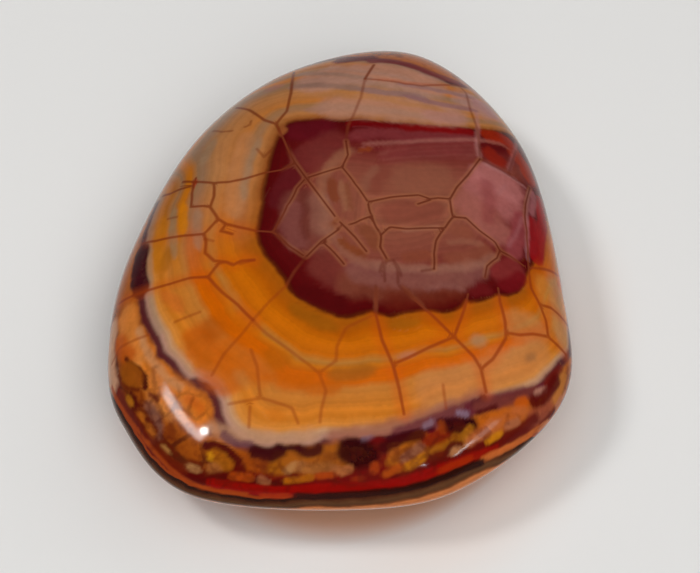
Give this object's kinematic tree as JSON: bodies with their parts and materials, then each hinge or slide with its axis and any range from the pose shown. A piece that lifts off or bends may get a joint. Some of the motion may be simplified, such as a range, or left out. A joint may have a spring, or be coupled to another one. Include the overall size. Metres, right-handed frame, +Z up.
{
  "type": "fire agate specimen",
  "caption": "Polished free-form agate palm stone: a low dome with a rounded edge and a small flat spot underneath, banded and crackled.",
  "frame": {"origin": "centre of the stone's box seen from above, at the height of the flat spot it rests on", "axes": "+Z up through the crown of the dome, +Y along the stone's long way, +X across it"},
  "size_m": [0.0398, 0.0484, 0.013],
  "materials": {
    "agate": "high polish over translucent banded and crackled chalcedony"
  },
  "bodies": {
    "root": {"agate": "agate"}
  },
  "joints": []
}
